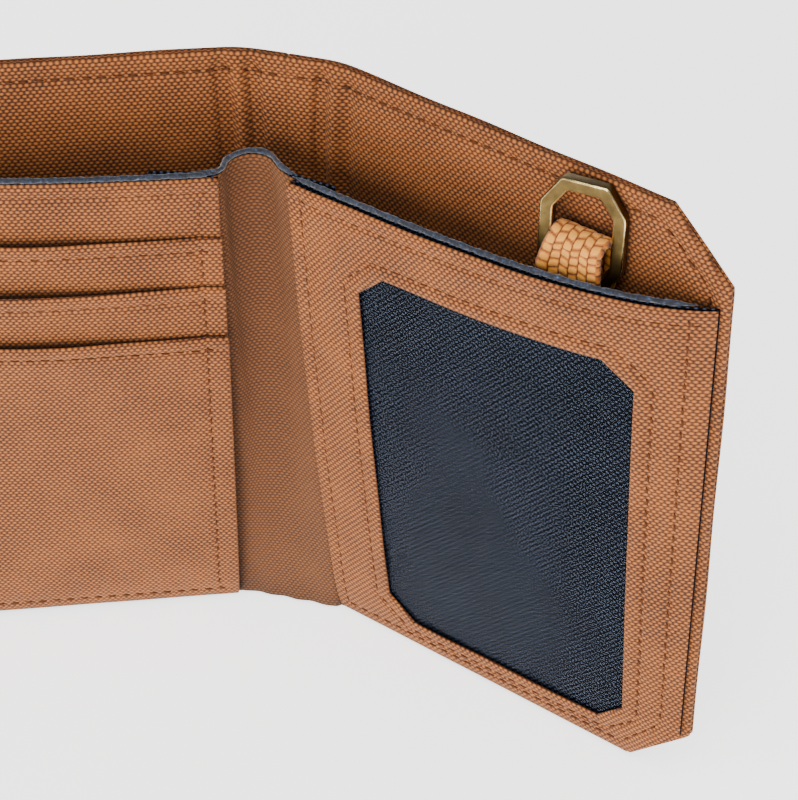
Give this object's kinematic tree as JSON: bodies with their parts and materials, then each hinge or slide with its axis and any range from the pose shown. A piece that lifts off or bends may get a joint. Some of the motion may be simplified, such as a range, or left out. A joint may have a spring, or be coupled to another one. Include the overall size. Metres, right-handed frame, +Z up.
{
  "type": "bifold wallet",
  "caption": "Upright folding canvas wallet with a full-height note compartment, stepped card pockets, a film-covered card window and a brass ring on a webbing loop.",
  "frame": {"origin": "middle of the spine's bottom edge, on the shell's inner face", "axes": "+Z up along the spine, +Y out of the back of the spine, -Y into the opened wallet, +X to the right leaf"},
  "size_m": [0.1388, 0.0379, 0.1081],
  "materials": {
    "canvas": "coarse woven",
    "navy_lining": "fine woven",
    "board": "matte",
    "clear_film": "clear gloss",
    "webbing": "plump woven",
    "antique_brass": "antique, worn edges"
  },
  "bodies": {
    "left_leaf": {"left_outer_canvas": "canvas", "left_stiffener": "board", "left_inner_canvas": "canvas", "left_bottom_hem": "canvas"},
    "spine": {"spine_outer_canvas": "canvas", "spine_inner_canvas": "canvas", "gusset_lining": "navy_lining", "gusset_canvas": "canvas"},
    "right_leaf": {"right_outer_canvas": "canvas", "right_stiffener": "board", "right_inner_canvas": "canvas", "right_bottom_hem": "canvas", "webbing_loop": "webbing"},
    "left_divider": {"left_divider_lining": "navy_lining", "left_base_panel": "canvas", "card_pocket_1": "canvas", "card_pocket_2": "canvas", "card_pocket_3": "canvas", "pocket_seam_inner": "canvas", "pocket_seam_outer": "canvas", "pocket_seam_bottom": "canvas", "pocket_seam_corner": "canvas"},
    "right_divider": {"right_divider_lining": "navy_lining", "id_backing": "navy_lining", "window_film": "clear_film", "id_frame": "canvas", "id_seam_top": "canvas", "id_seam_outer": "canvas", "id_seam_corner": "canvas", "id_seam_bottom": "canvas"},
    "key_ring": {"key_ring": "antique_brass"}
  },
  "joints": [
    {"name": "left_fold", "type": "hinge", "parent": "spine", "child": "left_leaf", "pos_m": [-0.0073, 0, 0], "axis": [0, 0, 1], "range_deg": [-21, 69], "deforming": ["gusset_canvas", "gusset_lining"]},
    {"name": "right_fold", "type": "hinge", "parent": "spine", "child": "right_leaf", "pos_m": [0.0073, 0, 0], "axis": [0, 0, -1], "range_deg": [-21, 69], "deforming": ["gusset_canvas", "gusset_lining"]},
    {"name": "left_divider_lean", "type": "hinge", "parent": "left_leaf", "child": "left_divider", "pos_m": [-0.0352, -0.01103, 0.0024], "axis": [0.9336, 0.3584, 0], "range_deg": [-6.51, 2.02]},
    {"name": "right_divider_lean", "type": "hinge", "parent": "right_leaf", "child": "right_divider", "pos_m": [0.0352, -0.01103, 0.0024], "axis": [0.9336, -0.3584, 0], "range_deg": [-3.6, 1.13]},
    {"name": "ring_swing", "type": "hinge", "parent": "right_leaf", "child": "key_ring", "pos_m": [0.04739, -0.01834, 0.091], "axis": [0.9336, -0.3584, 0], "range_deg": [0, 16]}
  ],
  "couplings": [
    {"joint": "right_fold", "follows": "left_fold", "ratio": 1},
    {"joint": "left_divider_lean", "follows": "left_fold", "ratio": -0.093588},
    {"joint": "right_divider_lean", "follows": "left_fold", "ratio": -0.051512}
  ]
}
